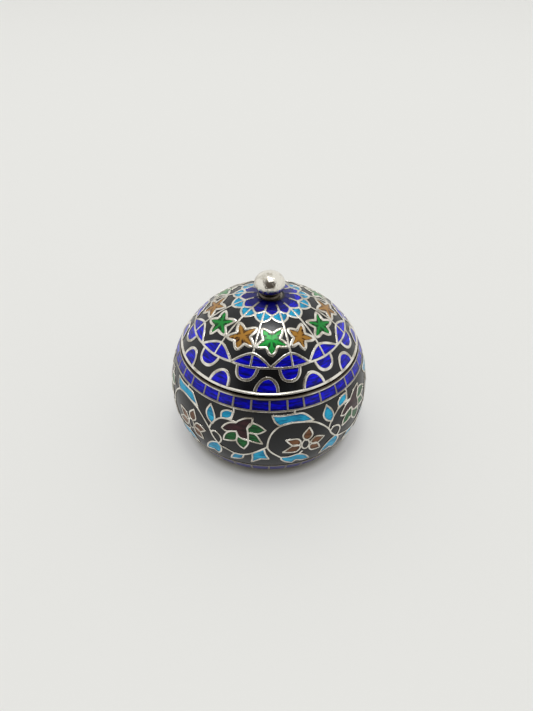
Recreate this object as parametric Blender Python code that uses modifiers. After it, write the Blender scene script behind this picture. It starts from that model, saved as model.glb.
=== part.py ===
"""Enamelled silver trinket box: a round bellied bowl and a domed lid that lifts off.

Both halves are thin turned silver. Their outsides are sunk a little between narrow silver borders, and
coloured enamel fills the sunk zones flush: a narrow band under the mouth, a wide field round the belly,
a band at the foot and one skin over the dome. A half-round silver wire edges the lid, and a silver ball on
a small collar is the knob. The box stands on its flat underside, centred on the Z axis, with the table at
z = 0. All lengths are metres.
"""
import math

import bpy
from mathutils import Vector

# Bowl
BELLY_RADIUS = 0.0230
BELLY_HEIGHT = 0.0121
BOWL_HEIGHT = 0.0236
MOUTH_DRAW_IN = 0.0030
BASE_DRAW_IN = 0.0049
UNDERSIDE_FULLNESS = 2.25
SILVER_WALL = 0.0008
FLOOR_THICKNESS = 0.0012

# Enamel zones of the bowl, from the mouth down
MOUTH_BORDER = 0.00065
MOUTH_BAND_HEIGHT = 0.00165
BORDER_WIDTH = 0.0005
FOOT_BAND_HEIGHT = 0.0032
FOOT_EDGE = 0.0018
ENAMEL_DEPTH = 0.0005
ENAMEL_GAP = 0.0001

# Upright lip inside the mouth, which the lid slips over
LIP_RISE = 0.0012
LIP_THICKNESS = 0.0007
LIP_ROOT = 0.0030
LID_SIDE_CLEARANCE = 0.0003
LID_SEAT_GAP = 0.0003

# Lid
DOME_RISE = 0.0109
DOME_OVERRUN = 0.0028
RIM_WIRE_HEIGHT = 0.0006
RIM_WIRE_WIDTH = 0.0008
RIM_SETBACK = 0.0001

# Knob
KNOB_RADIUS = 0.0033
KNOB_HALF_HEIGHT = 0.0026
KNOB_RINGS = 11
COLLAR_RADIUS = 0.0023
COLLAR_TOP_RADIUS = 0.0020
COLLAR_THICKNESS = 0.0003
SEAT_DEPTH = 0.0004
SEAT_BORDER = 0.0004

# Fineness of the turned surfaces
TURN_STEPS = 40
SHARP_ANGLE = math.radians(32.0)
MERGE_DISTANCE = 1e-6

# Sizes that follow from the ones above
MOUTH_RADIUS = BELLY_RADIUS - MOUTH_DRAW_IN
BASE_RADIUS = BELLY_RADIUS - BASE_DRAW_IN
RIM_OUTER_RADIUS = MOUTH_RADIUS - RIM_SETBACK
SKIRT_RADIUS = RIM_OUTER_RADIUS - RIM_WIRE_WIDTH - ENAMEL_GAP
LIP_RADIUS = SKIRT_RADIUS - SILVER_WALL - LID_SIDE_CLEARANCE
LIP_INNER_RADIUS = LIP_RADIUS - LIP_THICKNESS
LID_EDGE_HEIGHT = BOWL_HEIGHT + LID_SEAT_GAP
DOME_EDGE_HEIGHT = LID_EDGE_HEIGHT + RIM_WIRE_HEIGHT
DOME_EDGE_RADIUS = SKIRT_RADIUS + ENAMEL_DEPTH
DOME_TOP_HEIGHT = DOME_EDGE_HEIGHT + DOME_RISE
INNER_SHOULDER_HEIGHT = BOWL_HEIGHT + LIP_RISE + LID_SEAT_GAP
SEAT_HEIGHT = DOME_TOP_HEIGHT - SEAT_DEPTH
COLLAR_BASE_HEIGHT = SEAT_HEIGHT + ENAMEL_GAP
KNOB_CENTRE_HEIGHT = COLLAR_BASE_HEIGHT + COLLAR_THICKNESS + ENAMEL_GAP + KNOB_HALF_HEIGHT

SILVER = ("silver", (0.80, 0.79, 0.76), 0.16, 1.0)
COBALT = ("cobalt_enamel", (0.010, 0.012, 0.42), 0.12, 0.0)
BLACK = ("black_enamel", (0.018, 0.018, 0.020), 0.22, 0.0)


def clear_scene():
    """Starts from an empty scene."""
    for thing in list(bpy.data.objects):
        bpy.data.objects.remove(thing, do_unlink=True)


def make_collection(name):
    """A collection for the box's pieces."""
    collection = bpy.data.collections.new(name)
    bpy.context.scene.collection.children.link(collection)
    return collection


def make_material(recipe, piece_name):
    """One piece's own material: its colour, roughness and metallic value."""
    kind, colour, roughness, metallic = recipe
    material = bpy.data.materials.new(f"{kind}_{piece_name}")
    material.use_nodes = True
    shader = material.node_tree.nodes["Principled BSDF"]
    shader.inputs["Base Color"].default_value = (*colour, 1.0)
    shader.inputs["Roughness"].default_value = roughness
    shader.inputs["Metallic"].default_value = metallic
    material.diffuse_color = (*colour, 1.0)
    return material


def shade(piece, recipe):
    """Applies the piece's modifiers, shades its round faces smooth and gives it its material."""
    depsgraph = bpy.context.evaluated_depsgraph_get()
    mesh = bpy.data.meshes.new_from_object(piece.evaluated_get(depsgraph))
    piece.modifiers.clear()
    piece.data = mesh
    mesh.name = piece.name
    mesh.shade_smooth()
    mesh.set_sharp_from_angle(angle=SHARP_ANGLE)
    mesh.materials.clear()
    mesh.materials.append(make_material(recipe, piece.name))


def turn(name, profile, recipe, collection, closed):
    """Turns a profile of (radius, height) points round the Z axis."""
    count = len(profile)
    edges = [(step, step + 1) for step in range(count - 1)]
    if closed:
        edges.append((count - 1, 0))
    mesh = bpy.data.meshes.new(f"{name}_profile")
    mesh.from_pydata([(radius, 0.0, height) for radius, height in profile], edges, [])
    piece = bpy.data.objects.new(name, mesh)
    collection.objects.link(piece)
    screw = piece.modifiers.new("Turn", "SCREW")
    screw.axis = "Z"
    screw.steps = TURN_STEPS
    screw.render_steps = TURN_STEPS
    screw.use_merge_vertices = True
    screw.merge_threshold = MERGE_DISTANCE
    shade(piece, recipe)
    return piece


def span(start, end, count):
    """Evenly spaced values from start to end, both included."""
    return [start + (end - start) * step / (count - 1) for step in range(count)]


def bowl_radius(height):
    """The bowl's outer radius at a height: an ellipse above the belly, a fuller curve below it."""
    if height >= BELLY_HEIGHT:
        draw = 1.0 - (MOUTH_RADIUS / BELLY_RADIUS) ** 2
        share = (height - BELLY_HEIGHT) / (BOWL_HEIGHT - BELLY_HEIGHT)
        return BELLY_RADIUS * math.sqrt(1.0 - draw * share ** 2)
    draw = 1.0 - (BASE_RADIUS / BELLY_RADIUS) ** UNDERSIDE_FULLNESS
    share = (BELLY_HEIGHT - height) / BELLY_HEIGHT
    return BELLY_RADIUS * (1.0 - draw * share ** UNDERSIDE_FULLNESS) ** (1.0 / UNDERSIDE_FULLNESS)


def dome_radius(height):
    """The dome's outer radius at a height: part of an ellipse that would run on below the rim."""
    spread = DOME_EDGE_RADIUS + DOME_OVERRUN
    edge_level = math.sqrt(1.0 - (DOME_EDGE_RADIUS / spread) ** 2)
    half_height = DOME_RISE / (1.0 - edge_level)
    level = (height - DOME_TOP_HEIGHT + half_height) / half_height
    return spread * math.sqrt(max(0.0, 1.0 - level ** 2))


def dome_height(radius):
    """The dome's outer height at a radius."""
    spread = DOME_EDGE_RADIUS + DOME_OVERRUN
    edge_level = math.sqrt(1.0 - (DOME_EDGE_RADIUS / spread) ** 2)
    half_height = DOME_RISE / (1.0 - edge_level)
    return DOME_TOP_HEIGHT - half_height * (1.0 - math.sqrt(1.0 - (radius / spread) ** 2))


def sink(point, slope, depth):
    """Moves a profile point squarely inwards from a surface that runs along slope, down its outer side."""
    inwards = Vector((slope[1], -slope[0])).normalized()
    return (point[0] + inwards.x * depth, point[1] + inwards.y * depth)


def bowl_point(height, depth=0.0):
    """A point on the bowl's outside at a height, sunk squarely by depth."""
    probe = BOWL_HEIGHT / 1000.0
    high = min(height + probe, BOWL_HEIGHT)
    low = max(height - probe, 0.0)
    slope = (bowl_radius(low) - bowl_radius(high), low - high)
    return sink((bowl_radius(height), height), slope, depth)


def dome_point(radius, depth=0.0):
    """A point on the dome's outside at a radius, sunk squarely by depth."""
    probe = DOME_EDGE_RADIUS / 1000.0
    slope = (probe * 2.0, dome_height(radius + probe) - dome_height(radius - probe))
    return sink((radius, dome_height(radius)), slope, depth)


def bowl_zones():
    """Each enamel zone of the bowl as its top and bottom height, from the mouth down."""
    band_top = BOWL_HEIGHT - MOUTH_BORDER
    band_bottom = band_top - MOUTH_BAND_HEIGHT
    field_top = band_bottom - BORDER_WIDTH
    foot_top = FOOT_EDGE + FOOT_BAND_HEIGHT
    field_bottom = foot_top + BORDER_WIDTH
    return {
        "bowl_band_enamel": (band_top, band_bottom, 2),
        "bowl_field_enamel": (field_top, field_bottom, 8),
        "bowl_foot_enamel": (foot_top, FOOT_EDGE, 3),
    }


def sunk_zone(top, bottom, count):
    """The recess of one enamel zone, as the bowl's profile runs through it from top to bottom."""
    floor = [bowl_point(height, ENAMEL_DEPTH) for height in span(top, bottom, count)]
    return [bowl_point(top)] + floor + [bowl_point(bottom)]


def make_bowl(collection):
    """The silver bowl: floor, inner wall and lip, then the outside with its recesses, then the base."""
    depth = ENAMEL_DEPTH + SILVER_WALL
    root_height = BOWL_HEIGHT - LIP_ROOT
    inner_wall = [bowl_point(height, depth) for height in span(FLOOR_THICKNESS * 1.5, root_height, 8)]
    floor_radius = inner_wall[0][0] - FLOOR_THICKNESS * 0.5
    lip_top = BOWL_HEIGHT + LIP_RISE
    lip_corner = LIP_THICKNESS * 0.25
    profile = [(0.0, FLOOR_THICKNESS), (floor_radius, FLOOR_THICKNESS)]
    profile += inner_wall
    profile += [
        (LIP_INNER_RADIUS, BOWL_HEIGHT),
        (LIP_INNER_RADIUS, lip_top),
        (LIP_RADIUS - lip_corner, lip_top),
        (LIP_RADIUS, lip_top - lip_corner),
        (LIP_RADIUS, BOWL_HEIGHT),
        (MOUTH_RADIUS, BOWL_HEIGHT),
    ]
    for top, bottom, count in bowl_zones().values():
        profile += sunk_zone(top, bottom, count)
    profile += [bowl_point(FOOT_EDGE / 2.0), (BASE_RADIUS, 0.0), (0.0, 0.0)]
    turn("bowl", profile, SILVER, collection, closed=False)


def make_bowl_enamel(collection):
    """The enamel rings that fill the bowl's recesses flush."""
    colours = {"bowl_band_enamel": COBALT, "bowl_field_enamel": BLACK, "bowl_foot_enamel": COBALT}
    for name, (top, bottom, count) in bowl_zones().items():
        heights = span(top - ENAMEL_GAP, bottom + ENAMEL_GAP, count)
        outside = [bowl_point(height) for height in heights]
        inside = [bowl_point(height, ENAMEL_DEPTH - ENAMEL_GAP) for height in reversed(heights)]
        turn(name, outside + inside, colours[name], collection, closed=True)


def make_lid(collection):
    """The silver dome with its sunk knob seat, its sunk enamel ground and its skirt inside the rim wire."""
    recess_radius = COLLAR_RADIUS + ENAMEL_GAP
    seat_radius = COLLAR_RADIUS + SEAT_BORDER
    seat = [(0.0, SEAT_HEIGHT), (recess_radius, SEAT_HEIGHT), dome_point(recess_radius), dome_point(seat_radius)]
    ground = [dome_point(radius, ENAMEL_DEPTH) for radius in span(seat_radius, DOME_EDGE_RADIUS, 9)[:-1]]
    skirt = [(SKIRT_RADIUS, DOME_EDGE_HEIGHT), (SKIRT_RADIUS, LID_EDGE_HEIGHT)]
    depth = ENAMEL_DEPTH + SILVER_WALL
    inner_radius = SKIRT_RADIUS - SILVER_WALL
    inner_edge = [(inner_radius, LID_EDGE_HEIGHT), (inner_radius, INNER_SHOULDER_HEIGHT)]
    inner_reach = DOME_EDGE_RADIUS * 0.86
    inner_dome = [dome_point(radius, depth) for radius in span(inner_reach, inner_reach / 7.0, 7)]
    apex = [(0.0, DOME_TOP_HEIGHT - depth)]
    profile = seat + ground + skirt + inner_edge + inner_dome + apex
    turn("lid", profile, SILVER, collection, closed=False)


def make_lid_enamel(collection):
    """The enamel skin over the dome, from the knob's seat to the rim wire."""
    inner = COLLAR_RADIUS + SEAT_BORDER + ENAMEL_GAP
    outer = dome_radius(DOME_EDGE_HEIGHT + ENAMEL_GAP)
    radii = span(inner, outer, 9)
    outside = [dome_point(radius) for radius in radii]
    inside = [dome_point(radius, ENAMEL_DEPTH - ENAMEL_GAP) for radius in reversed(radii[:-1])]
    foot = [(SKIRT_RADIUS + ENAMEL_GAP, DOME_EDGE_HEIGHT + ENAMEL_GAP)]
    turn("lid_enamel", outside + foot + inside, BLACK, collection, closed=True)


def make_rim_wire(collection):
    """The half-round silver wire round the lid's lower edge: flat inside and below, round outside."""
    inner = RIM_OUTER_RADIUS - RIM_WIRE_WIDTH
    half = RIM_WIRE_HEIGHT / 2.0
    round_side = []
    for angle in span(math.radians(90.0), math.radians(-90.0), 7):
        radius = inner + RIM_WIRE_WIDTH * math.cos(angle)
        round_side.append((radius, LID_EDGE_HEIGHT + half + half * math.sin(angle)))
    turn("lid_rim", round_side, SILVER, collection, closed=True)


def make_collar(collection):
    """The low collar in the dome's knob seat, hollowed above so that the ball rests in it."""
    seat = []
    for radius in span(0.0, COLLAR_TOP_RADIUS, 5):
        level = math.sqrt(1.0 - (radius / (KNOB_RADIUS + ENAMEL_GAP)) ** 2)
        seat.append((radius, KNOB_CENTRE_HEIGHT - (KNOB_HALF_HEIGHT + ENAMEL_GAP) * level))
    base = [(COLLAR_RADIUS, COLLAR_BASE_HEIGHT + COLLAR_THICKNESS / 2.0), (COLLAR_RADIUS, COLLAR_BASE_HEIGHT)]
    turn("finial_collar", seat + base + [(0.0, COLLAR_BASE_HEIGHT)], SILVER, collection, closed=False)


def make_knob(collection):
    """The silver ball, a little wider than high."""
    profile = []
    for angle in span(math.radians(90.0), math.radians(-90.0), KNOB_RINGS):
        radius = max(0.0, KNOB_RADIUS * math.cos(angle))
        profile.append((radius, KNOB_CENTRE_HEIGHT + KNOB_HALF_HEIGHT * math.sin(angle)))
    profile[0] = (0.0, profile[0][1])
    profile[-1] = (0.0, profile[-1][1])
    turn("finial_ball", profile, SILVER, collection, closed=False)


def main():
    """Builds every piece of the box."""
    clear_scene()
    collection = make_collection("cloisonne_enamel_box")
    make_bowl(collection)
    make_bowl_enamel(collection)
    make_lid(collection)
    make_lid_enamel(collection)
    make_rim_wire(collection)
    make_collar(collection)
    make_knob(collection)


if __name__ == "__main__":
    main()
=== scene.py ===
"""Enamelled silver trinket box: a round bellied bowl, a domed lid and a ball knob.

Silver wire is laid on both outsides in a traditional pattern of stars, arches, flowers and scroll, and
coloured enamel fills the cells between the wires. The pattern is drawn flat in millimetres and then laid
on the turned surfaces. Finished meshes are in metres, with the box standing on z = 0 and its front
towards -Y. The file is laid out as an add-on and is run as a script.
"""
import math
import random

import bpy
import numpy as np
from mathutils import Matrix, Vector
from mathutils.geometry import delaunay_2d_cdt


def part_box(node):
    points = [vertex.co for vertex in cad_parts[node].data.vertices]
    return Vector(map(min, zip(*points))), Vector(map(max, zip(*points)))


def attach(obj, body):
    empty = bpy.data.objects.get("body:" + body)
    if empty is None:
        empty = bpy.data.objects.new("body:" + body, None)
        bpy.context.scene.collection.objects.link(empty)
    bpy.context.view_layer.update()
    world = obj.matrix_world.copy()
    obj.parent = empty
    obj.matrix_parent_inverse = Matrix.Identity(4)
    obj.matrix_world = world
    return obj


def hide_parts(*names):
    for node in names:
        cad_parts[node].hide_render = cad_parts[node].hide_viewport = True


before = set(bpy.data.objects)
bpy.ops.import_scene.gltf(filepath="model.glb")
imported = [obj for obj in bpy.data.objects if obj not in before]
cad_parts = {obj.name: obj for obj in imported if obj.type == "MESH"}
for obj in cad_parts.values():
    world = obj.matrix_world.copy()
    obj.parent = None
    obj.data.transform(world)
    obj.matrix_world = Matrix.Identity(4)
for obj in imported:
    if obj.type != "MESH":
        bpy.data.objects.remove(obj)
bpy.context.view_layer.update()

bl_info = {
    "name": "Enamelled trinket box",
    "version": (1, 0, 0),
    "blender": (4, 5, 0),
    "location": "View3D > Sidebar > Trinket box",
    "description": "Builds a silver trinket box laid with wire and coloured enamel",
    "category": "Object",
}

MM = 0.001
COLLECTION_NAME = "enamelled_trinket_box"
SEED = 24
# Gap that the solids keep between soldered or fused pieces, in millimetres
JOINT_GAP = 0.1
# How much of the bowl's upper edge is taken off to break its corner
MOUTH_ROUND = 0.15
# Room between the lip's top and the shoulder inside the lid
LIP_HEADROOM = 0.3
# How many flat sides a turned piece has
BODY_STEPS = 144
RIM_STEPS = 180
KNOB_STEPS = 96
# Spacing of the points in the enamel of the stars, the lid, the scroll and the squares, and along a wire
STAR_PITCH = 0.17
LID_PITCH = 0.34
SCROLL_PITCH = 0.30
SQUARE_PITCH = 0.45
WIRE_PITCH = 0.26
# Each cell is this thick, starts this high at a wire, and dips by this much between wires
CELL_THICKNESS = 0.3
CELL_EDGE_LEVEL = 0.02
CELL_DIP = 0.05
# How far from a wire the enamel's edge climbs, and how far it looks darker
MENISCUS_REACH = 0.22
DARK_EDGE_REACH = 0.42
# The black ground lies this far below the silver's outside, so that the coloured cells cover it
GROUND_SUNK = 0.07
# Cells take their score marks from this many different places of the marks' pattern
MARK_PLACES = 29


def corner(node, high):
    """One corner of a node's box at rest: the highest one, or else the lowest."""
    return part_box(node)[1 if high else 0]


def length(name, description, default):
    """A length that a user can set."""
    return bpy.props.FloatProperty(
        name=name, description=description, default=default, precision=5, subtype="DISTANCE", unit="LENGTH")


def colour(name, description, default):
    """An sRGB hex colour that a user can set."""
    return bpy.props.StringProperty(name=name, description=description, default=default)


class BoxSizes(bpy.types.PropertyGroup):
    """Sizes of the turned silver and of the wire and enamel on it."""

    belly_radius: length("Belly radius", "Widest radius of the bowl", corner("bowl_field_enamel", True)[0])
    belly_height: length("Belly height", "Height of the widest point", 0.0121)
    mouth_height: length(
        "Mouth height", "Height of the bowl's upper edge", corner("lid_rim", False)[2] - 0.0003)
    mouth_draw_in: length("Mouth draw-in", "How far the side draws in from belly to mouth", 0.0030)
    base_draw_in: length("Base draw-in", "How far the side draws in from belly to base", 0.0049)
    underside_fullness: bpy.props.FloatProperty(
        name="Underside fullness", description="Exponent of the curve below the belly", default=2.25)
    floor_thickness: length("Floor thickness", "Silver under the bowl's inside", 0.0012)
    silver_wall: length("Silver wall", "Thickness of the silver behind the enamel", 0.0008)
    enamel_depth: length("Enamel depth", "Thickness of the fired enamel", 0.0005)
    lip_rise: length("Lip rise", "How far the lip stands above the bowl's edge", 0.0012)
    lip_thickness: length("Lip thickness", "Wall of the lip inside the mouth", 0.0007)
    lip_root: length("Lip root", "How far below the edge the lip grows out of the wall", 0.0030)
    lid_clearance: length("Lid clearance", "Side room between lid and lip", 0.0003)
    rim_wire_width: length("Rim wire width", "How far the lid's edge wire stands out", 0.0008)
    dome_rise: length("Dome rise", "Height of the dome above the edge wire", 0.0109)
    dome_overrun: length("Dome overrun", "How far the dome's ellipse would run on past the rim", 0.0028)
    wire_width: length("Wire width", "Width of the wire laid on the lid", 0.00048)
    wire_rise: length("Wire rise", "How far the wire stands above the enamel", 0.00006)
    spoke_width: length("Spoke width", "Width of the twelve straight wires of the lid", 0.00042)
    scroll_width: length("Scroll wire width", "Width of the wire laid on the bowl", 0.00038)
    border_width: length("Border width", "Width of the wires that frame the bands of squares", 0.00038)
    knob_radius: length("Knob radius", "Radius of the ball knob", 0.0033)


class EnamelColours(bpy.types.PropertyGroup):
    """Deep and bright colour of each enamel, and the silver's tints, as sRGB hex values."""

    silver: colour("Silver", "Clean polished silver", "#E9E5DC")
    silver_dull: colour("Dull silver", "Silver where handling has dulled it", "#A79F90")
    # Tarnish in the hollows, used also as painted shade in the seam, under the knob and on the darkened
    # silver
    tarnish_and_shade: colour("Tarnish", "Silver darkened where no cloth gets in", "#4A4036")
    black: colour("Black", "Black ground enamel", "#0B0B0D")
    black_cloud: colour("Black cloud", "Faint bluish cloud in the black ground", "#14171D")
    cobalt_deep: colour("Deep cobalt", "Cobalt where the enamel is thick", "#07076A")
    cobalt_bright: colour("Bright cobalt", "Cobalt over a bright cut of the silver", "#0C0CFF")
    # Darker cobalt for the foot: painted shade where the foot sits in shadow
    shaded_foot_cobalt: colour("Dark cobalt", "Cobalt over a bright cut of the silver, at the foot", "#06068A")
    turquoise_deep: colour("Deep turquoise", "Turquoise where the enamel is thick", "#0674A2")
    turquoise_bright: colour("Bright turquoise", "Turquoise over bright silver", "#28C8F4")
    green_deep: colour("Deep green", "Green where the enamel is thick", "#012A0C")
    green_bright: colour("Bright green", "Green over a bright cut of the silver", "#168A34")
    dark_green_deep: colour("Deep dark green", "The bowl's green where the enamel is thick", "#05240F")
    dark_green_bright: colour("Bright dark green", "The bowl's green over bright silver", "#1E803C")
    amber_deep: colour("Deep amber", "Amber where the enamel is thick", "#35190A")
    amber_bright: colour("Bright amber", "Amber over a bright cut of the silver", "#A8782F")
    brown_deep: colour("Deep brown", "Brown where the enamel is thick", "#4A2C18")
    brown_bright: colour("Bright brown", "Brown over bright silver", "#90603C")
    maroon_deep: colour("Deep maroon", "Maroon where the enamel is thick", "#220F14")
    maroon_bright: colour("Bright maroon", "Maroon over bright silver", "#4A262C")


class StageSettings(bpy.types.PropertyGroup):
    """Camera and light."""

    camera_elevation: bpy.props.FloatProperty(
        name="Elevation", description="Camera angle above the table", default=math.radians(38.39),
        subtype="ANGLE")
    camera_distance: length("Camera distance", "From the camera to the point it turns about", 0.1251)
    aim_height: length("Aim height", "Height of the point that the camera turns about", 0.018)
    lens: bpy.props.FloatProperty(name="Lens", description="Focal length for a 36 mm frame", default=27.04)
    floor: colour("Floor", "Plain pale table", "#BEBEBC")


def sizes():
    """The scene's sizes."""
    return bpy.context.scene.box_sizes


def colours():
    """The scene's colours."""
    return bpy.context.scene.enamel_colours


def linear(hex_colour):
    """An sRGB hex colour as linear RGBA."""
    channels = [int(hex_colour[start:start + 2], 16) / 255.0 for start in (1, 3, 5)]
    return [c / 12.92 if c <= 0.04045 else ((c + 0.055) / 1.055) ** 2.4 for c in channels] + [1.0]


def box_collection():
    """The collection that holds the box's finished pieces."""
    found = bpy.data.collections.get(COLLECTION_NAME)
    if found is None:
        found = bpy.data.collections.new(COLLECTION_NAME)
        bpy.context.scene.collection.children.link(found)
    return found


# Turned surfaces


class TurnedSurface:
    """The outside of a turned piece, as radius and height along its length in millimetres."""

    def __init__(self, radius, height):
        self.radius = radius
        self.height = height
        steps = np.hypot(np.diff(radius), np.diff(height))
        self.along = np.concatenate([[0.0], np.cumsum(steps)])
        slope_r = np.gradient(radius, self.along)
        slope_z = np.gradient(height, self.along)
        self.out_r = -slope_z
        self.out_z = slope_r

    def spread(self, along, angle, lift):
        """Points in metres and outward directions, by length along the profile and angle from the front."""
        radius = np.interp(along, self.along, self.radius)
        height = np.interp(along, self.along, self.height)
        out_r = np.interp(along, self.along, self.out_r)
        out_z = np.interp(along, self.along, self.out_z)
        scale = np.hypot(out_r, out_z)
        out_r = out_r / scale
        out_z = out_z / scale
        side = np.sin(angle)
        front = -np.cos(angle)
        reach = radius + out_r * lift
        points = np.stack([reach * side, reach * front, height + out_z * lift], axis=-1) * MM
        outward = np.stack([out_r * side, out_r * front, out_z], axis=-1)
        return points, outward

    def below(self, along, sunk):
        """Radius and height in millimetres, sunk below the outside at a length along the profile."""
        place, _ = self.spread(np.array([along]), np.array([math.pi / 2.0]), -sunk)
        return (place[0][0] / MM, place[0][2] / MM)


class Dome(TurnedSurface):
    """The lid's outside. Its flat pattern is a disc whose radius is the length from the top."""

    def __init__(self):
        size = sizes()
        edge = (corner("lid_rim", True)[0] - size.rim_wire_width + size.enamel_depth) / MM - JOINT_GAP
        edge_height = corner("lid_rim", True)[2] / MM
        self.top = edge_height + size.dome_rise / MM
        spread = edge + size.dome_overrun / MM
        level = math.sqrt(1.0 - (edge / spread) ** 2)
        half_height = (self.top - edge_height) / (1.0 - level)
        radius = np.linspace(0.0, edge, 600)
        height = self.top - half_height * (1.0 - np.sqrt(1.0 - (radius / spread) ** 2))
        super().__init__(radius, height)
        self.edge = self.along[-1]

    def lay(self, points, lift):
        """Lays flat pattern points on the dome."""
        along = np.hypot(points[:, 0], points[:, 1])
        angle = np.arctan2(points[:, 0], -points[:, 1])
        return self.spread(along, angle, lift)

    def unroll(self, points):
        """Length round and length down of each pattern point, for patterns that follow the turning."""
        along = np.hypot(points[:, 0], points[:, 1])
        angle = np.arctan2(points[:, 0], -points[:, 1])
        return np.stack([angle * along, along], axis=-1)


class Bowl(TurnedSurface):
    """The bowl's outside. Its flat pattern has length round the belly across and height upwards."""

    def __init__(self):
        size = sizes()
        belly = size.belly_radius / MM
        belly_height = size.belly_height / MM
        self.mouth = size.mouth_height / MM
        self.belly = belly
        height = np.linspace(self.mouth, 0.0, 800)
        up = np.clip((height - belly_height) / (self.mouth - belly_height), 0.0, 1.0)
        down = np.clip((belly_height - height) / belly_height, 0.0, 1.0)
        mouth_draw = 1.0 - ((belly - size.mouth_draw_in / MM) / belly) ** 2
        full = size.underside_fullness
        base_draw = 1.0 - ((belly - size.base_draw_in / MM) / belly) ** full
        above = np.sqrt(1.0 - mouth_draw * up ** 2)
        below = (1.0 - base_draw * down ** full) ** (1.0 / full)
        super().__init__(belly * above * below, height)

    def lay(self, points, lift):
        """Lays flat pattern points on the bowl."""
        along = np.interp(-points[:, 1], -self.height, self.along)
        return self.spread(along, points[:, 0] / self.belly, lift)

    def unroll(self, points):
        """Length round and height of each pattern point."""
        return points.copy()

    def at(self, degrees, height):
        """The flat pattern point at an angle from the front and a height."""
        return (math.radians(degrees) * self.belly, height)

    def below_height(self, height, sunk):
        """Radius and height in millimetres, sunk below the outside at a height on the outside."""
        return self.below(np.interp(-height, -self.height, self.along), sunk)


# Flat drawing


def polar(along, degrees):
    """A point of the lid's flat pattern, by its length from the top and its angle from the front."""
    angle = math.radians(degrees)
    return (along * math.sin(angle), -along * math.cos(angle))


def resample(points, pitch, closed):
    """Points at an even pitch along a polyline, with its sharp corners kept."""
    path = np.asarray(points, dtype=float)
    if closed:
        path = np.vstack([path, path[:1]])
    steps = np.hypot(*(path[1:] - path[:-1]).T)
    keep = [path[0]]
    for start, end, step in zip(path[:-1], path[1:], steps):
        count = max(1, int(math.ceil(step / pitch)))
        for share in range(1, count + 1):
            keep.append(start + (end - start) * share / count)
    result = np.array(keep)
    return result[:-1] if closed else result


def flowing(points, closed, corners=(), fineness=6):
    """A smooth line through the points, with a sharp turn at each index in corners."""
    path = [Vector(point) for point in points]
    count = len(path)
    spans = count if closed else count - 1
    line = []
    for index in range(spans):
        start = path[index]
        end = path[(index + 1) % count]
        if index in corners or (not closed and index == 0):
            before = start + (start - end) * 0.4
        else:
            before = path[index - 1]
        after_index = (index + 1) % count
        if after_index in corners or (not closed and index == spans - 1):
            after = end + (end - start) * 0.4
        else:
            after = path[(index + 2) % count]
        for step in range(fineness):
            t = step / fineness
            line.append(
                0.5 * ((2.0 * start) + (end - before) * t
                       + (2.0 * before - 5.0 * start + 4.0 * end - after) * t ** 2
                       + (3.0 * start - before - 3.0 * end + after) * t ** 3))
    if not closed:
        line.append(path[-1])
    return [tuple(point) for point in line]


def distance_to(points, outline):
    """Shortest distance from each point to a closed outline."""
    start = outline
    run = np.roll(outline, -1, axis=0) - start
    length_squared = np.maximum((run ** 2).sum(axis=1), 1e-12)
    gap = points[:, None, :] - start[None, :, :]
    share = np.clip((gap * run[None, :, :]).sum(axis=2) / length_squared[None, :], 0.0, 1.0)
    nearest = gap - share[:, :, None] * run[None, :, :]
    return np.sqrt((nearest ** 2).sum(axis=2)).min(axis=1)


def inside(points, outline):
    """Whether each point is inside a closed outline."""
    x, y = points[:, 0][:, None], points[:, 1][:, None]
    x0, y0 = outline[:, 0][None, :], outline[:, 1][None, :]
    nxt = np.roll(outline, -1, axis=0)
    x1, y1 = nxt[:, 0][None, :], nxt[:, 1][None, :]
    spans = (y0 > y) != (y1 > y)
    rise = np.where(np.abs(y1 - y0) < 1e-12, 1e-12, y1 - y0)
    crosses = spans & (x < (x1 - x0) * (y - y0) / rise + x0)
    return crosses.sum(axis=1) % 2 == 1


def fill(outline, pitch):
    """Triangles that fill a closed flat outline: points, faces, and each point's distance to the edge."""
    low = outline.min(axis=0)
    high = outline.max(axis=0)
    rows = np.arange(low[1] + pitch / 2.0, high[1], pitch * 0.87)
    grid = []
    for number, level in enumerate(rows):
        across = np.arange(low[0] + (pitch / 2.0 if number % 2 else pitch), high[0], pitch)
        grid.append(np.stack([across, np.full_like(across, level)], axis=-1))
    grid = np.concatenate(grid) if grid else np.zeros((0, 2))
    if len(grid):
        grid = grid[inside(grid, outline)]
    if len(grid):
        grid = grid[distance_to(grid, outline) > pitch * 0.5]
    points = [Vector(point) for point in np.vstack([outline, grid])]
    edge_count = len(outline)
    ring = list(range(edge_count))
    loop = [(index, (index + 1) % edge_count) for index in ring]
    made = delaunay_2d_cdt(points, loop, [ring], 1, 1e-5, False)
    flat = np.array([tuple(point) for point in made[0]])
    held = inside(np.array([flat[list(face)].mean(axis=0) for face in made[2]]), outline)
    faces = []
    for face, kept in zip(made[2], held):
        a, b, c = (flat[index] for index in face)
        turn = (b[0] - a[0]) * (c[1] - a[1]) - (b[1] - a[1]) * (c[0] - a[0])
        if kept and abs(turn) > 1e-9:
            faces.append(tuple(face) if turn > 0.0 else tuple(reversed(face)))
    return flat, faces, distance_to(flat, outline)


# Mesh building


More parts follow.
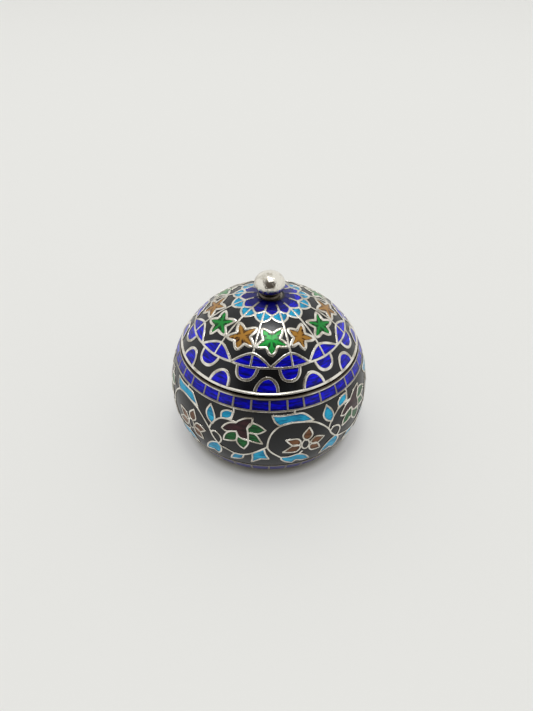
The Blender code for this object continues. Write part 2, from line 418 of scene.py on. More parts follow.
class MeshStock:
    """Collects the slabs of one enamel colour before they become a mesh."""

    def __init__(self):
        self.points = []
        self.faces = []
        self.lay = []
        self.looks = {"glint": [], "edge": []}
        self.count = 0

    def add(self, points, faces, lay, glint, edge):
        """Adds points, faces, and each point's place in the pattern, glint and nearness to a wire."""
        self.faces += [tuple(index + self.count for index in face) for face in faces]
        self.points.append(points)
        self.lay.append(lay)
        self.looks["glint"].append(glint)
        self.looks["edge"].append(edge)
        self.count += len(points)

    def build(self, name):
        """The finished mesh object, linked to the box's collection."""
        mesh = bpy.data.meshes.new(name)
        mesh.from_pydata(np.concatenate(self.points).tolist(), [], self.faces)
        lay = mesh.attributes.new("lay", "FLOAT_VECTOR", "POINT")
        lay.data.foreach_set("vector", np.concatenate(self.lay).astype(np.float32).ravel())
        for label, values in self.looks.items():
            look = mesh.attributes.new(label, "FLOAT", "POINT")
            look.data.foreach_set("value", np.concatenate(values).astype(np.float32))
        mesh.shade_smooth()
        mesh.set_sharp_from_angle(angle=math.radians(50.0))
        piece = bpy.data.objects.new(name, mesh)
        box_collection().objects.link(piece)
        return piece


def slab(stock, surface, outline, pitch, engraving, mark_place):
    """Adds one enamel cell: a slab that follows the surface, its top dipping slightly between the wires."""
    flat, faces, gap = fill(outline, pitch)
    meniscus = np.exp(-gap / MENISCUS_REACH)
    lift = CELL_EDGE_LEVEL - CELL_DIP * (1.0 - meniscus)
    top, _ = surface.lay(flat, lift)
    bottom, _ = surface.lay(flat, np.full(len(flat), -CELL_THICKNESS))
    count = len(flat)
    used = {}
    for face in faces:
        for a, b in zip(face, face[1:] + face[:1]):
            used[(a, b)] = True
    walls = [(a, a + count, b + count, b) for a, b in used if (b, a) not in used]
    floor = [tuple(index + count for index in reversed(face)) for face in faces]
    shine, cuts = engraving(flat) if engraving else (np.zeros(count), surface.unroll(flat))
    lay = np.column_stack([cuts, np.full(count, mark_place)])
    near = np.exp(-(gap / DARK_EDGE_REACH) ** 2)
    stock.add(
        np.vstack([top, bottom]), faces + floor + walls, np.vstack([lay, lay]),
        np.concatenate([shine, shine]), np.concatenate([near, near]))


def pour(name, surface, cells, wanted, pitch):
    """All cells of one colour as one piece."""
    stock = MeshStock()
    for index, (kind, outline, engraving) in enumerate(cells):
        if kind == wanted:
            edge = resample(outline, pitch, True)
            slab(stock, surface, edge, pitch, engraving, float(index % MARK_PLACES))
    return stock.build(name)


def turned(name, profile, steps, closed):
    """A turned piece: its profile of (radius, height) points in millimetres, screwed round the Z axis."""
    count = len(profile)
    edges = [(index, index + 1) for index in range(count - 1)]
    if closed:
        edges.append((count - 1, 0))
    mesh = bpy.data.meshes.new(f"{name}_profile")
    mesh.from_pydata([(radius * MM, 0.0, height * MM) for radius, height in profile], edges, [])
    piece = bpy.data.objects.new(name, mesh)
    box_collection().objects.link(piece)
    screw = piece.modifiers.new("Turn", "SCREW")
    screw.axis = "Z"
    screw.steps = steps
    screw.render_steps = steps
    screw.use_merge_vertices = True
    screw.merge_threshold = 1e-6
    return settled(piece)


def settled(piece):
    """The piece with its modifiers applied, as a plain smooth mesh."""
    depsgraph = bpy.context.evaluated_depsgraph_get()
    mesh = bpy.data.meshes.new_from_object(piece.evaluated_get(depsgraph))
    piece.modifiers.clear()
    piece.data = mesh
    mesh.name = piece.name
    mesh.shade_smooth()
    mesh.set_sharp_from_angle(angle=math.radians(40.0))
    return piece


# Nodes


def add_node(tree, kind, settings=None, values=None):
    """Adds a node, sets its properties, and sets or links its inputs."""
    node = tree.nodes.new(kind)
    for name, value in (settings or {}).items():
        setattr(node, name, value)
    for name, value in (values or {}).items():
        if isinstance(value, bpy.types.NodeSocket):
            tree.links.new(value, node.inputs[name])
        else:
            node.inputs[name].default_value = value
    return node


def reckon(tree, operation, first, second):
    """The result of a sum on two sockets or numbers."""
    return add_node(tree, "ShaderNodeMath", {"operation": operation}, {0: first, 1: second}).outputs[0]


def wire_tree():
    """Geometry nodes that turn laid paths into flat wire with eased edges, lying square on the surface."""
    tree = bpy.data.node_groups.new("Laid wire", "GeometryNodeTree")
    face = tree.interface
    face.new_socket("Geometry", in_out="INPUT", socket_type="NodeSocketGeometry")
    width = face.new_socket("Width", in_out="INPUT", socket_type="NodeSocketFloat")
    rise = face.new_socket("Rise", in_out="INPUT", socket_type="NodeSocketFloat")
    finish = face.new_socket("Finish", in_out="INPUT", socket_type="NodeSocketMaterial")
    face.new_socket("Geometry", in_out="OUTPUT", socket_type="NodeSocketGeometry")
    source = add_node(tree, "NodeGroupInput")
    paths = add_node(tree, "GeometryNodeMeshToCurve", None, {"Mesh": source.outputs["Geometry"]})
    outward = add_node(
        tree, "GeometryNodeInputNamedAttribute", {"data_type": "FLOAT_VECTOR"}, {"Name": "outward"})
    girth = add_node(
        tree, "GeometryNodeInputNamedAttribute", {"data_type": "FLOAT"}, {"Name": "girth"})
    upright = add_node(tree, "GeometryNodeSetCurveNormal", {"mode": "FREE"}, {
        "Curve": paths.outputs["Curve"], "Normal": outward.outputs["Attribute"]})
    # The section reaches as far below the surface as above it, and its four edges are eased
    section = add_node(tree, "GeometryNodeCurvePrimitiveQuadrilateral", None, {
        "Width": reckon(tree, "MULTIPLY", source.outputs["Rise"], 2.0), "Height": source.outputs["Width"]})
    eased = add_node(tree, "GeometryNodeFilletCurve", {"mode": "POLY"}, {
        "Curve": section.outputs["Curve"], "Count": 2,
        "Radius": reckon(tree, "MULTIPLY", source.outputs["Rise"], 0.9)})
    sweep = add_node(tree, "GeometryNodeCurveToMesh", None, {
        "Curve": upright.outputs["Curve"], "Profile Curve": eased.outputs["Curve"],
        "Scale": girth.outputs["Attribute"], "Fill Caps": True})
    smooth = add_node(tree, "GeometryNodeSetShadeSmooth", None, {"Geometry": sweep.outputs["Mesh"]})
    real = add_node(tree, "GeometryNodeRealizeInstances", None, {"Geometry": smooth.outputs["Geometry"]})
    coat = add_node(tree, "GeometryNodeSetMaterial", None, {
        "Geometry": real.outputs["Geometry"], "Material": source.outputs["Finish"]})
    add_node(tree, "NodeGroupOutput", None, {"Geometry": coat.outputs["Geometry"]})
    return tree, {"Width": width, "Rise": rise, "Finish": finish}


def lay_wires(name, surface, wires, width, rise, finish):
    """One piece of laid wire from flat paths, each (points, closed, girth), its width wavering a little."""
    chance = random.Random(SEED)
    points = []
    outward = []
    girths = []
    edges = []
    for path, closed, girth in wires:
        flat = resample(path, WIRE_PITCH, closed)
        place, normal = surface.lay(flat, np.zeros(len(flat)))
        first = len(points)
        count = len(flat)
        swell = chance.uniform(0.0, 6.28)
        for index in range(count):
            points.append(tuple(place[index]))
            outward.append(tuple(normal[index]))
            # Two slow waves, as wire has that was flattened by hand
            wave = math.sin(swell + index * 0.45) * 0.06 + math.sin(swell * 2.1 + index * 0.17) * 0.05
            girths.append(girth * (1.0 + wave))
        edges += [(first + index, first + index + 1) for index in range(count - 1)]
        if closed:
            edges.append((first + count - 1, first))
    mesh = bpy.data.meshes.new(f"{name}_paths")
    mesh.from_pydata(points, edges, [])
    direction = mesh.attributes.new("outward", "FLOAT_VECTOR", "POINT")
    direction.data.foreach_set("vector", np.array(outward, dtype=np.float32).ravel())
    thickness = mesh.attributes.new("girth", "FLOAT", "POINT")
    thickness.data.foreach_set("value", np.array(girths, dtype=np.float32))
    guide = bpy.data.objects.new(f"{name}_guide", mesh)
    box_collection().objects.link(guide)
    tree, sockets = wire_tree()
    nodes = guide.modifiers.new("Wire", "NODES")
    nodes.node_group = tree
    nodes[sockets["Width"].identifier] = width
    nodes[sockets["Rise"].identifier] = rise
    nodes[sockets["Finish"].identifier] = finish
    depsgraph = bpy.context.evaluated_depsgraph_get()
    made = bpy.data.meshes.new_from_object(guide.evaluated_get(depsgraph))
    bpy.data.objects.remove(guide, do_unlink=True)
    made.name = name
    for spare in [item.name for item in made.attributes if item.name in ("outward", "girth")]:
        made.attributes.remove(made.attributes[spare])
    piece = bpy.data.objects.new(name, made)
    box_collection().objects.link(piece)
    return piece


# Materials


def new_material(name):
    """A new material's tree and its Principled shader."""
    material = bpy.data.materials.new(name)
    material.use_nodes = True
    return material, material.node_tree, material.node_tree.nodes["Principled BSDF"]


def noise(tree, place, scale, detail, roughness):
    """Cloudy noise; the scale is in clouds per unit of the place."""
    node = add_node(tree, "ShaderNodeTexNoise", None, {
        "Vector": place, "Scale": scale, "Detail": detail, "Roughness": roughness})
    return node.outputs["Fac"]


def two_tones(tree, factor, low, low_colour, high, high_colour):
    """A colour that runs from one tone at the low value of a factor to another at the high value."""
    ramp = add_node(tree, "ShaderNodeValToRGB", None, {"Fac": factor})
    first, last = ramp.color_ramp.elements
    first.position = low
    first.color = linear(low_colour)
    last.position = high
    last.color = linear(high_colour)
    return ramp.outputs["Color"]


def ranged(tree, value, start, end, low=0.0, high=1.0):
    """A value that runs from low to high while the one given runs from start to end."""
    node = add_node(tree, "ShaderNodeMapRange", None, {
        "Value": value, "From Min": start, "From Max": end, "To Min": low, "To Max": high})
    return node.outputs["Result"]


def eased_range(tree, value, start, end, high=1.0):
    """A value that eases from 0 to high while the one given runs from start to end."""
    node = add_node(tree, "ShaderNodeMapRange", {"interpolation_type": "SMOOTHSTEP"}, {
        "Value": value, "From Min": start, "From Max": end, "To Max": high})
    return node.outputs["Result"]


def relief(tree, height, strength, distance, under=None):
    """A bump from a height, on top of another bump where one is given."""
    node = add_node(tree, "ShaderNodeBump", None, {
        "Height": height, "Strength": strength, "Distance": distance})
    if under is not None:
        tree.links.new(under, node.inputs["Normal"])
    return node.outputs["Normal"]


def blended(tree, factor, first, second, mode="MIX"):
    """Two colours blended by a factor; each is a socket or a linear colour."""
    node = add_node(tree, "ShaderNodeMix", {"data_type": "RGBA", "blend_type": mode}, {
        "Factor": factor, "A": first, "B": second})
    return node.outputs["Result"]


def between_levels(tree, height, low, high, fade):
    """A mask that is 1 where the height lies between two levels and fades out past them."""
    above = ranged(tree, height, low - fade, low)
    below = ranged(tree, height, high + fade, high)
    return reckon(tree, "MULTIPLY", above, below)


def silver_finish(name, roughness, dulling, dents, overall_shade=0.0):
    """Silver, polished by hand: dull clouds, rubbing marks and dents, darkened by tarnish with painted
    shade in the seam and under the knob, and by an even painted shade where one is given.
    """
    material, tree, shader = new_material(name)
    place = add_node(tree, "ShaderNodeTexCoord").outputs["Object"]
    # Clouds of handling about 2.5 mm across, duller and rougher by turns
    clouds = noise(tree, place, 420.0, 5.0, 0.6)
    tint = two_tones(tree, clouds, 0.30, colours().silver_dull, 0.30 + dulling, colours().silver)
    # Rubbing marks, drawn about 0.15 mm apart so that they show
    marks = relief(tree, noise(tree, place, 6500.0, 3.0, 0.5), 0.10, 0.00002)
    # Dents from casting and from use, about 0.7 mm apart
    dented = relief(tree, noise(tree, place, 1400.0, 2.0, 0.5), dents, 0.0002, marks)
    # Tarnish with painted shade darkens the seam between bowl and lid, and painted shade darkens the ball's
    # lower part and the collar's top under the knob
    mouth = sizes().mouth_height
    knob = corner("finial_ball", False)[2]
    height = add_node(tree, "ShaderNodeSeparateXYZ", None, {"Vector": place}).outputs["Z"]
    seam = between_levels(tree, height, mouth - 0.00010, mouth + 0.00042, 0.00010)
    root = between_levels(tree, height, knob - 0.0002, knob + 0.0011, 0.0006)
    seam_and_knob_shade = reckon(tree, "MAXIMUM", seam, reckon(tree, "MULTIPLY", root, 0.85))
    darker = reckon(tree, "MAXIMUM", seam_and_knob_shade, overall_shade)
    tree.links.new(blended(tree, darker, tint, linear(colours().tarnish_and_shade)), shader.inputs["Base Color"])
    rough = ranged(tree, clouds, 0.3, 0.7, roughness * 1.5, roughness * 0.75)
    tree.links.new(rough, shader.inputs["Roughness"])
    tree.links.new(dented, shader.inputs["Normal"])
    shader.inputs["Metallic"].default_value = 1.0
    return material


def black_finish():
    """Opaque black enamel, stoned and fired: a soft gloss, faint bluish clouds and a slightly wavy face."""
    material, tree, shader = new_material("black enamel")
    place = add_node(tree, "ShaderNodeTexCoord").outputs["Object"]
    clouds = noise(tree, place, 260.0, 4.0, 0.55)
    tint = two_tones(tree, clouds, 0.38, colours().black, 0.74, colours().black_cloud)
    tree.links.new(tint, shader.inputs["Base Color"])
    tree.links.new(ranged(tree, clouds, 0.3, 0.7, 0.16, 0.30), shader.inputs["Roughness"])
    waves = relief(tree, noise(tree, place, 900.0, 2.0, 0.5), 0.25, 0.00006)
    tree.links.new(waves, shader.inputs["Normal"])
    shader.inputs["IOR"].default_value = 1.42
    return material


def clear_enamel(name, deep, bright, streaks, foil, contrast=0.19):
    """Translucent enamel fired over scored silver: deep, and brighter where the cuts below shine."""
    material, tree, shader = new_material(name)
    lay = add_node(tree, "ShaderNodeAttribute", {"attribute_name": "lay"})
    # Score marks about half a millimetre apart and 3 mm long; each cell has its own
    stretch = add_node(tree, "ShaderNodeMapping", None, {
        "Vector": lay.outputs["Vector"], "Scale": (0.35, streaks, 7.3)})
    scores = noise(tree, stretch.outputs["Vector"], 1.0, 4.0, 0.65)
    # An engraved rib shines through as a bright line
    glint = add_node(tree, "ShaderNodeAttribute", {"attribute_name": "glint"})
    shine = add_node(tree, "ShaderNodeMath", {"operation": "MULTIPLY_ADD"}, {
        0: glint.outputs["Fac"], 1: 0.45, 2: scores})
    tint = two_tones(tree, shine.outputs[0], 0.53 - contrast, deep, 0.53 + contrast, bright)
    # The enamel is thickest where it climbs the wires, so it darkens there
    edge = add_node(tree, "ShaderNodeAttribute", {"attribute_name": "edge"})
    shade = ranged(tree, edge.outputs["Fac"], 0.25, 1.0, 0.0, 0.75)
    tree.links.new(blended(tree, shade, tint, linear(deep), "MULTIPLY"), shader.inputs["Base Color"])
    tree.links.new(relief(tree, scores, 0.35, 0.00008), shader.inputs["Normal"])
    shader.inputs["Metallic"].default_value = foil
    shader.inputs["Roughness"].default_value = 0.34
    shader.inputs["Specular IOR Level"].default_value = 0.1
    shader.inputs["Coat Weight"].default_value = 0.38
    shader.inputs["Coat Roughness"].default_value = 0.06
    shader.inputs["Coat IOR"].default_value = 1.4
    return material


def finishes():
    """Every finish of the box, made once."""
    tint = colours()
    found = bpy.data.materials.get("cobalt enamel")
    if found is None:
        silver_finish("polished silver", 0.14, 0.22, 0.1)
        silver_finish("cast silver", 0.10, 0.20, 0.7)
        silver_finish("wire silver", 0.20, 0.30, 0.3)
        # Rough silver with an even painted shade laid over it
        silver_finish("dull shaded silver", 0.38, 0.75, 0.3, 0.45)
        black_finish()
        clear_enamel("cobalt enamel", tint.cobalt_deep, tint.cobalt_bright, 2.2, 0.35, 0.13)
        # The foot's cobalt, darkened and without foil, as painted shade
        clear_enamel("shaded foot cobalt enamel", tint.cobalt_deep, tint.shaded_foot_cobalt, 2.2, 0.0, 0.13)
        clear_enamel("turquoise enamel", tint.turquoise_deep, tint.turquoise_bright, 1.6, 0.25)
        clear_enamel("green enamel", tint.green_deep, tint.green_bright, 1.8, 0.45, 0.08)
        clear_enamel("dark green enamel", tint.dark_green_deep, tint.dark_green_bright, 2.4, 0.2)
        clear_enamel("amber enamel", tint.amber_deep, tint.amber_bright, 1.8, 0.55, 0.08)
        clear_enamel("brown enamel", tint.brown_deep, tint.brown_bright, 1.8, 0.25)
        clear_enamel("maroon enamel", tint.maroon_deep, tint.maroon_bright, 1.8, 0.2)
    return bpy.data.materials


def finish_piece(piece, material_name, slot, *nodes):
    """Gives a piece its finish and its body, and hides the solids that it stands for. The slot is not used.
    """
    piece.data.materials.clear()
    piece.data.materials.append(finishes()[material_name])
    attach(piece, "root")
    if nodes:
        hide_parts(*nodes)


# The lid's pattern

REPEATS = 12
STEP = 360.0 / REPEATS
# Lengths from the top of the dome, in millimetres
ENAMEL_START = 2.75
SPOKE_START = 3.9
ZIGZAG_IN = 5.75
ZIGZAG_OUT = 6.85
STAR_CENTRE = 12.7
# One half of a star: length from the top, and angle from the star's own middle line
STAR_HALF = ((15.9, 0.0), (14.2, 4.4), (14.35, 14.2), (12.6, 7.6), (10.3, 12.2), (11.15, 0.0))
ARCH_BASE = 18.4
# Heights and half widths of the arches, of the tongues that hang from them and of the arches at the rim
ARCH_RISE = 2.7
ARCH_SAG = 0.15
TONGUE_HALF = 2.45
TONGUE_DROP = 2.7
RIM_ARCH_HALF = 2.75
RIM_ARCH_RISE = 2.9
# How many degrees the tongues and the rim arches are off the spokes and the stars
TONGUE_TURN = -2.35
RIM_ARCH_TURN = -1.8
# How far the top of the pattern is off the dome's middle
DRIFT = (0.42, 0.0)
# Width of an engraved rib, and length over which the petals darken towards the collar, by deeper enamel and
# by painted shade of the knob
RIB_WIDTH = 0.2
ROOT_REACH = 2.1
# Widths of the wires as shares of the wire width that is set
STAR_GIRTH = 1.2
ARCH_GIRTH = 1.1
ARCH_BASE_GIRTH = 0.95
HALF_ROUND_GIRTH = 1.3
BORDER_GIRTH = 0.8
FLOWER_GIRTH = 0.95
# How many degrees the pattern was laid off true, at every half step from the front round to the right
SWAY = (0.8, 1.3, -1.1, -2.5, -1.0, 0.2, 0.9, 0.0, -0.8, -0.3, 0.6, 1.0,
        0.2, -0.9, -0.4, 0.8, 0.5, -0.6, -1.0, 0.1, 1.4, 2.2, 1.8, 1.5)


def drifted(points, edge):
    """The pattern as laid by eye: turned and a little off centre at the top, and true at the rim."""
    path = np.asarray(points, dtype=float)
    along = np.hypot(path[:, 0], path[:, 1])
    share = 1.0 - np.clip(along / edge, 0.0, 1.0) ** 2
    angle = np.arctan2(path[:, 0], -path[:, 1])
    sway = np.interp(np.degrees(angle), np.arange(len(SWAY)) * STEP / 2.0, SWAY, period=360.0)
    angle = angle + np.radians(sway) * np.minimum(1.0, share * 3.0)
    turned_path = np.stack([along * np.sin(angle), -along * np.cos(angle)], axis=-1)
    return turned_path + share[:, None] * np.array(DRIFT)[None, :]


def star_outline(number, chance):
    """A five-lobed star whose longest lobe points outwards: its outline, its centre and its lobe tips."""
    turn = STEP * number
    grow = 1.0 if number == 0 else chance.uniform(0.94, 0.99)
    spots = list(STAR_HALF) + [(along, -degrees) for along, degrees in reversed(STAR_HALF[1:5])]
    points = []
    for along, degrees in spots:
        along = STAR_CENTRE + (along - STAR_CENTRE) * grow + chance.uniform(-0.16, 0.16)
        degrees = degrees * grow + chance.uniform(-0.8, 0.8)
        points.append(polar(along, turn + degrees))
    centre = polar(STAR_CENTRE, turn)
    tips = points[::2]
    outline = []
    corners = []
    for index, point in enumerate(points):
        corners.append(len(outline))
        outline.append(point)
        following = points[(index + 1) % len(points)]
        middle = Vector(point).lerp(Vector(following), 0.5)
        outline.append(tuple(middle + (middle - Vector(centre)) * 0.13))
    return flowing(outline, True, corners, 4), centre, tips


def engraved_lobes(centre, tips):
    """How a star is engraved: a bright rib down each lobe, and cuts that slant away to both sides."""
    def engrave(points):
        glint = np.zeros(len(points))
        nearest = np.full(len(points), 1e9)
        lay = np.zeros((len(points), 2))
        for number, tip in enumerate(tips):
            run = np.array(tip) - np.array(centre)
            reach = math.hypot(*run)
            gap = points - np.array(centre)[None, :]
            along = (gap @ run) / reach
            across = (gap @ np.array([-run[1], run[0]])) / reach
            away = np.hypot(np.clip(along, 0.0, reach * 0.92) - along, across)
            fading = 1.0 - 0.4 * np.clip(along / reach, 0.0, 1.0)
            glint = np.maximum(glint, np.exp(-(away / RIB_WIDTH) ** 2) * fading)
            closer = away < nearest
            nearest = np.where(closer, away, nearest)
            cuts = np.stack([np.abs(across) + 7.0 * number, along - 0.8 * np.abs(across)], axis=-1)
            lay[closer] = cuts[closer]
        return glint, lay
    return engrave


def shaded_deep_root(dome):
    """How the petals are engraved: plainly, darkened towards the collar by deep enamel heaped against it
    and by painted shade of the knob.
    """
    def engrave(points):
        along = np.hypot(points[:, 0], points[:, 1])
        return -0.9 * np.exp(-((along - ENAMEL_START) / ROOT_REACH) ** 2), dome.unroll(points)
    return engrave


def zigzag_line(turn, count):
    """The wire between petals and hearts over one step, from one spoke to the next."""
    line = []
    for step in range(count + 1):
        share = step / count
        bow = 1.0 - abs(2.0 * share - 1.0) ** 1.35
        line.append(polar(ZIGZAG_IN + (ZIGZAG_OUT - ZIGZAG_IN) * bow, turn + STEP * (share - 0.5)))
    return line


def heart_outline(turn):
    """A turquoise heart on a spoke, its notch towards the knob."""
    half = STEP / 2.0
    top = zigzag_line(turn - half, 8)[4:] + zigzag_line(turn + half, 8)[1:5]
    side = ((7.5, 0.90), (8.2, 0.56), (8.72, 0.10))
    belly = [polar(along, turn + half * share) for along, share in side]
    belly += [polar(along, turn - half * share) for along, share in reversed(side)]
    return flowing(top + belly, True, (0, 4, 8), 4), flowing([top[-1]] + belly + [top[0]], False, (), 4)


def arch_lines(turn, chance):
    """The curved top and the base line of one outer arch."""
    half = STEP / 2.0
    rise = ARCH_RISE * chance.uniform(0.96, 1.04)
    top = []
    base = []
    for step in range(17):
        share = step / 8.0 - 1.0
        top.append(polar(ARCH_BASE - rise * (1.0 - abs(share) ** 1.75), turn + half * share))
        base.append(polar(ARCH_BASE + ARCH_SAG * (1.0 - share ** 2), turn + half * share))
    return top, base


def hung_round(along, turn, half, drop, power):
    """A half-round that hangs outwards from a level, or stands inwards with a negative drop."""
    centre = Vector(polar(along, turn))
    outwards = centre.normalized()
    sideways = Vector((-outwards.y, outwards.x))
    line = []
    for step in range(21):
        angle = math.pi * step / 20.0
        across = math.copysign(abs(math.cos(angle)) ** (2.0 / power), math.cos(angle))
        down = abs(math.sin(angle)) ** (2.0 / power)
        line.append(tuple(centre - sideways * half * across + outwards * drop * down))
    return line


def lid_pattern(dome):
    """Cells (colour, outline, engraving) and wires (path, closed, girth) of the lid, drawn flat."""
    chance = random.Random(SEED)
    edge = dome.edge
    cells = []
    wires = []
    spokes = []
    for number in range(REPEATS):
        turn = STEP * number
        spoke_turn = turn + STEP / 2.0
        spoke = [polar(SPOKE_START, spoke_turn), polar(9.0, spoke_turn), polar(14.0, spoke_turn),
                 polar(ARCH_BASE + ARCH_SAG, spoke_turn)]
        spokes.append((drifted(resample(spoke, 0.5, False), edge), False, 1.0))
        zigzag = zigzag_line(turn, 10)
        wires.append((drifted(zigzag, edge), False, 1.0))
        petal = [polar(ENAMEL_START, turn + STEP * (0.5 - share)) for share in (0.0, 0.25, 0.5, 0.75, 1.0)]
        cells.append(("cobalt", drifted(petal + zigzag, edge), shaded_deep_root(dome)))
        heart, heart_wire = heart_outline(spoke_turn)
        cells.append(("turquoise", drifted(heart, edge), None))
        wires.append((drifted(heart_wire, edge), False, 1.0))
        star, centre, tips = star_outline(number, chance)
        shifted = drifted([centre] + tips, edge)
        engraving = engraved_lobes(shifted[0], shifted[1:])
        cells.append(("green" if number % 2 == 0 else "amber", drifted(star, edge), engraving))
        wires.append((drifted(star, edge), True, STAR_GIRTH))
        top, base = arch_lines(spoke_turn, chance)
        cells.append(("cobalt", drifted(top + base[-2:0:-1], edge), None))
        wires.append((drifted(top, edge), False, ARCH_GIRTH))
        wires.append((drifted(base, edge), False, ARCH_BASE_GIRTH))
        tongue = hung_round(ARCH_BASE + ARCH_SAG, spoke_turn + TONGUE_TURN + chance.uniform(-0.6, 0.6),
                            TONGUE_HALF * chance.uniform(0.97, 1.05), TONGUE_DROP, 2.35)
        cells.append(("cobalt", drifted(tongue, edge), None))
        wires.append((drifted(tongue, edge), False, HALF_ROUND_GIRTH))
        arch = hung_round(edge - 0.05, turn + RIM_ARCH_TURN + chance.uniform(-0.6, 0.6),
                          RIM_ARCH_HALF * chance.uniform(0.93, 1.02), -RIM_ARCH_RISE, 1.85)
        cells.append(("cobalt", drifted(arch, edge), None))
        wires.append((drifted(arch, edge), False, HALF_ROUND_GIRTH))
    return cells, wires, spokes


# The bowl's pattern

SCROLL_START = -33.0
SCROLL_TURN = 66.5
SCROLL_REPEATS = 5
SQUARES = 36
# How far the upper squares, and the sunk band that holds them, reach past the solid enamel
SQUARES_RAISED = 0.25
BAND_RAISED = 0.3
# How many degrees the dividers were set off true, in turn
SQUARE_SWAY = (0.5, 0.5, -0.1, 0.3, 1.8, 0.7, -0.1, -0.2)


def scroll_turn(degrees, number):
    """An angle of the drawn repeat, moved to repeat number: two at the front are close, the rest wider."""
    if number in (0, -1):
        return degrees + SCROLL_TURN * number
    wide = (360.0 - 2.0 * SCROLL_TURN) / (SCROLL_REPEATS - 2)
    start = SCROLL_START + SCROLL_TURN + wide * (number - 1)
    return start + (degrees - SCROLL_START) * wide / SCROLL_TURN


# Outlines of one repeat, each by a few points of the wire that bounds it, as degrees from the front and
# height in millimetres, with the indexes of its sharp corners
LEAVES = {
    "upright leaf": (((-33.3, 20.1), (-30.6, 18.6), (-29.7, 17.1), (-31.0, 15.8), (-34.2, 16.8),
                      (-35.5, 18.3)), (0, 3)),
    "hanging leaf": (((-19.6, 20.1), (-23.0, 20.1), (-25.9, 19.4), (-26.0, 18.1), (-22.6, 18.3),
                      (-20.2, 18.9)), (0, 3)),
    "long leaf": (((2.0, 20.2), (8.0, 20.1), (14.3, 20.2), (19.5, 19.9), (24.6, 18.0), (18.0, 18.2),
                   (12.5, 18.4), (6.0, 18.0), (3.6, 18.8)), (0, 4, 7)),
    "forked leaf": (((-28.2, 11.1), (-26.1, 10.0), (-26.5, 8.4), (-28.6, 7.2), (-31.0, 7.9), (-36.6, 7.1),
                     (-34.8, 9.0), (-31.9, 10.4)), (0, 3, 4, 5)),
    "bud": (((-20.9, 7.0), (-19.6, 8.4), (-18.1, 9.3), (-13.0, 9.4), (-14.2, 8.0), (-17.0, 7.4)),
            (0, 2, 3)),
    "notched leaf": (((-2.2, 12.0), (-1.3, 10.3), (0.4, 8.7), (-3.9, 8.7), (-9.1, 7.0), (-8.4, 8.7),
                      (-8.1, 10.4), (-5.0, 11.3)), (0, 2, 3, 4)),
    "winged leaf": (((6.8, 9.2), (11.0, 9.1), (16.0, 9.5), (20.3, 8.6), (23.2, 6.8), (19.0, 6.7),
                     (15.2, 7.4), (13.3, 6.3), (9.4, 7.2), (7.2, 8.2)), (0, 4, 6, 7)),
}
BROWN_CENTRE = (19.8, 12.2)
# Each petal of the brown flower: which way it points, its length and its half width, in millimetres
BROWN_PETALS = (
    (79.0, 4.4, 1.05), (8.0, 4.5, 1.0), (-35.0, 4.4, 1.0), (196.0, 5.1, 1.0), (154.0, 4.8, 0.95))
MAROON = (((-25.2, 15.8), (-23.4, 16.8), (-20.8, 17.6), (-17.4, 17.95), (-15.6, 18.6), (-12.3, 19.3),
           (-8.4, 19.5), (-8.9, 18.2), (-11.0, 17.1), (-10.6, 15.8), (-10.4, 14.1), (-12.9, 14.25),
           (-15.6, 14.8), (-16.9, 15.9), (-19.8, 15.6), (-22.8, 15.3)), (0, 3, 6, 8, 10, 13))
GREEN_PETALS = (
    (((-16.9, 15.9), (-16.4, 14.6), (-17.3, 13.5), (-20.5, 13.0), (-24.2, 12.7), (-23.3, 14.2),
      (-20.8, 15.4)), (0, 4)),
    (((-16.3, 14.8), (-13.5, 14.4), (-10.4, 14.2), (-10.6, 13.0), (-12.7, 11.5), (-15.2, 12.2),
      (-16.7, 13.4)), (0, 2, 4)),
    (((-10.5, 16.1), (-8.0, 16.1), (-5.8, 15.5), (-3.0, 13.5), (-6.5, 13.75), (-10.4, 14.1)), (0, 3, 5)),
    (((-11.2, 17.1), (-9.3, 18.3), (-5.5, 18.2), (-1.3, 17.0), (-5.2, 16.1), (-10.6, 16.1)), (0, 3, 5)),
)
# The scroll's own stems, as open lines
VINES = (
    ((-0.4, 12.3), (-0.3, 13.6), (0.5, 15.1), (2.4, 16.6), (6.2, 17.9), (12.5, 18.4), (18.5, 18.15),
     (24.5, 17.5), (29.5, 16.1), (33.5, 14.3), (35.6, 12.6), (38.6, 11.1)),
    ((-0.4, 12.3), (1.2, 11.2), (4.2, 10.0), (7.0, 9.0)),
    ((-33.0, 14.2), (-31.6, 15.7), (-29.4, 16.9), (-26.5, 17.9), (-22.5, 18.25), (-17.4, 18.05)),
    ((-32.0, 13.3), (-30.6, 14.0), (-28.6, 14.1), (-26.4, 13.5), (-25.5, 12.4), (-26.4, 11.4),
     (-27.6, 10.9)),
    ((-27.6, 11.0), (-25.4, 10.3), (-21.8, 9.9), (-17.8, 9.3), (-13.0, 9.5), (-8.0, 10.5), (-3.6, 11.8),
     (-0.9, 12.6), (-0.2, 13.9)),
    ((-19.3, 21.0), (-19.1, 20.1), (-20.2, 18.2)),
    ((14.3, 21.0), (13.9, 20.1)),
    ((18.4, 10.4), (16.5, 9.5)),
)


def petal_outline(degrees, length_out, half_width):
    """A pointed petal of the brown flower: (across, up) offsets in millimetres from its centre."""
    angle = math.radians(degrees)
    ahead = Vector((math.cos(angle), math.sin(angle)))
    side = Vector((-ahead.y, ahead.x))
    spots = ((1.1, 0.0), (1.75, -0.8), (2.8, -1.0), (length_out, 0.0), (2.8, 1.0), (1.75, 0.8))
    return [ahead * along + side * across * half_width for along, across in spots]


